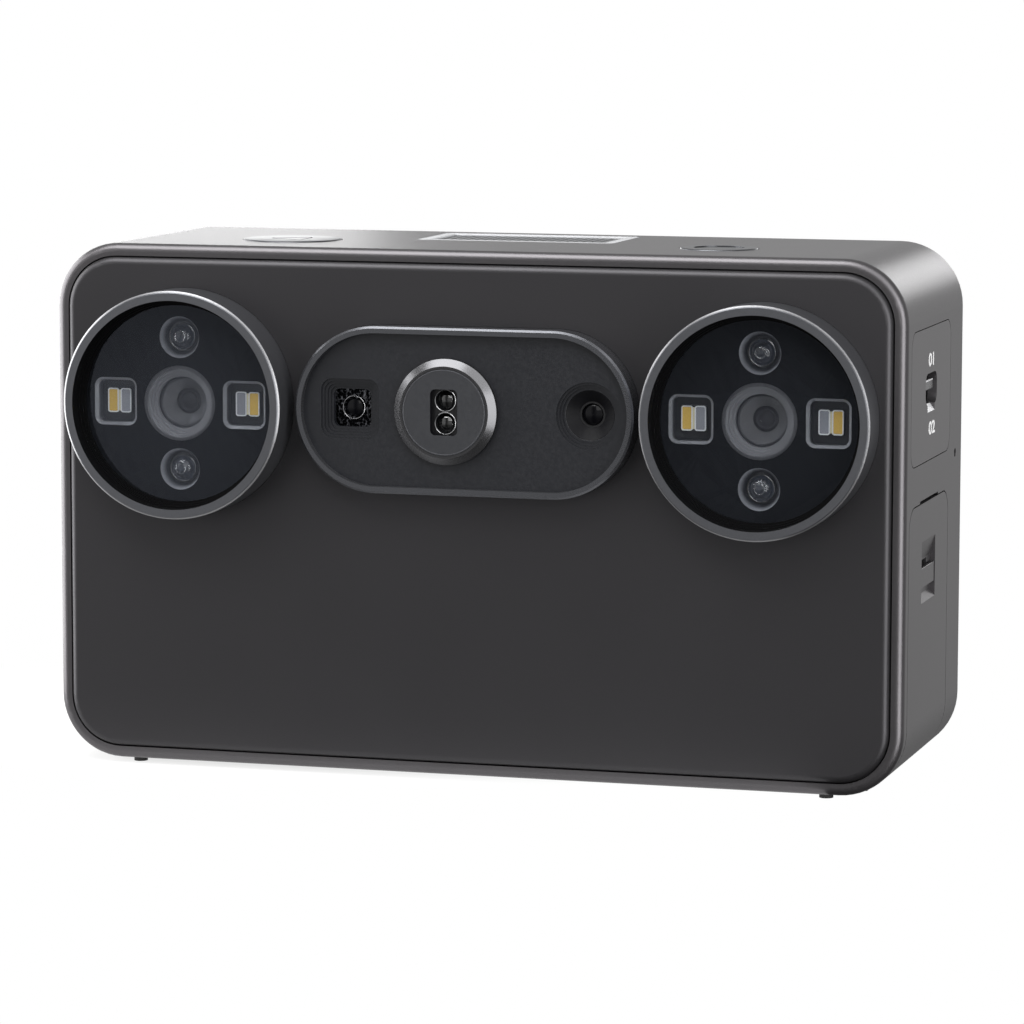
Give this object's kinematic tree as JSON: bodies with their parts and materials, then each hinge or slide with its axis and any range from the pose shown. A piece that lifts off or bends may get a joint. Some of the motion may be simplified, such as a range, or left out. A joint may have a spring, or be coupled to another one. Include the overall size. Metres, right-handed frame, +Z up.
{
  "type": "three-d scanner",
  "caption": "Box-shaped handheld optical scanner with hooded camera and light clusters, a projector bar, top buttons and vent, a side switch and a hinged battery door.",
  "frame": {"origin": "on the surface the feet stand on, under the middle of the overall width and depth", "axes": "+X towards the end with the switch and battery door, -Y the way the lenses look, +Z up"},
  "size_m": [0.15, 0.057, 0.091],
  "materials": {
    "casing": "fine satin, anodised dark grey",
    "front_panel": "fine satin, dark grey",
    "rear_cover": "fine grain, dark grey",
    "hood": "satin, dark grey",
    "window_glass": "polished, slightly tinted",
    "carrier": "matt black",
    "barrel": "black anodised look",
    "lens_glass": "coated, dark",
    "holder": "matt black",
    "board": "green solder mask",
    "round_light": "clear dome",
    "light_package": "pale",
    "yellow_chip": "yellow gel",
    "clear_chip": "clear gel",
    "chassis": "milled",
    "bezel": "satin, dark grey",
    "bar_panel": "smooth, black",
    "ring": "satin, dark grey",
    "projector_face": "smooth, dark grey",
    "module": "dark metal",
    "button": "satin, anodised dark grey",
    "switch": "matt black",
    "vent_frame": "satin, grey",
    "vent_mesh": "satin, grey",
    "side_panel": "fine grain, grey",
    "knob": "satin, light grey",
    "door": "fine grain, grey",
    "pin": "drawn",
    "tray": "matt black",
    "battery": "matt dark grey",
    "contacts": "plated",
    "heat_sink": "anodised",
    "tin": "tin plated",
    "insert": "turned",
    "foot": "matt black"
  },
  "bodies": {
    "scanner": {"bar_panel": "bar_panel", "battery_contacts": "contacts", "battery_pack": "battery", "battery_tray": "tray", "body_shell": "casing", "button_board": "board", "chassis": "chassis", "clear_chips": "clear_chip", "colour_camera": "module", "colour_lens": "lens_glass", "dot_lens": "lens_glass", "dot_projector": "module", "feet": "foot", "front_panel": "front_panel", "heat_sink": "heat_sink", "hinge_pin": "pin", "left_camera_barrel": "barrel", "left_camera_board": "board", "left_camera_lens": "lens_glass", "left_lens_carrier": "carrier", "left_lens_holder": "holder", "left_lens_hood": "hood", "left_lens_window": "window_glass", "light_packages": "light_package", "main_board": "board", "mode_switch_body": "switch", "power_switch": "switch", "projector_bezel": "bezel", "projector_body": "module", "projector_face": "projector_face", "projector_lenses": "lens_glass", "projector_ring": "ring", "rear_cover": "rear_cover", "rear_screws": "pin", "reset_switch": "switch", "right_camera_barrel": "barrel", "right_camera_board": "board", "right_camera_lens": "lens_glass", "right_lens_carrier": "carrier", "right_lens_holder": "holder", "right_lens_hood": "hood", "right_lens_window": "window_glass", "round_lights": "round_light", "scan_switch": "switch", "shield_can": "tin", "switch_panel": "side_panel", "tripod_insert": "insert", "usb_socket": "tin", "vent_frame": "vent_frame", "vent_mesh": "vent_mesh", "wireless_module": "tin", "yellow_chips": "yellow_chip"},
    "scan_button": {"scan_button": "button"},
    "power_button": {"power_button": "button"},
    "mode_switch": {"mode_knob": "knob"},
    "battery_door": {"battery_door": "door"},
    "door_latch": {"door_latch": "knob"}
  },
  "joints": [
    {"name": "scan_press", "type": "slide", "parent": "scanner", "child": "scan_button", "axis": [0, 0, -1], "range_m": [0, 0.0008], "stiffness_N_per_m": 2000, "springref_m": -0.0004},
    {"name": "power_press", "type": "slide", "parent": "scanner", "child": "power_button", "axis": [0, 0, -1], "range_m": [0, 0.0008], "stiffness_N_per_m": 2000, "springref_m": -0.0004},
    {"name": "mode_slide", "type": "slide", "parent": "scanner", "child": "mode_switch", "axis": [0, 0, -1], "range_m": [0, 0.0022]},
    {"name": "door_hinge", "type": "hinge", "parent": "scanner", "child": "battery_door", "pos_m": [0.0642, 0.0001, 0.0023], "axis": [0, 1, 0], "range_deg": [0, 90]},
    {"name": "latch_slide", "type": "slide", "parent": "battery_door", "child": "door_latch", "axis": [0, 0, 1], "range_m": [0, 0.0012]}
  ]
}
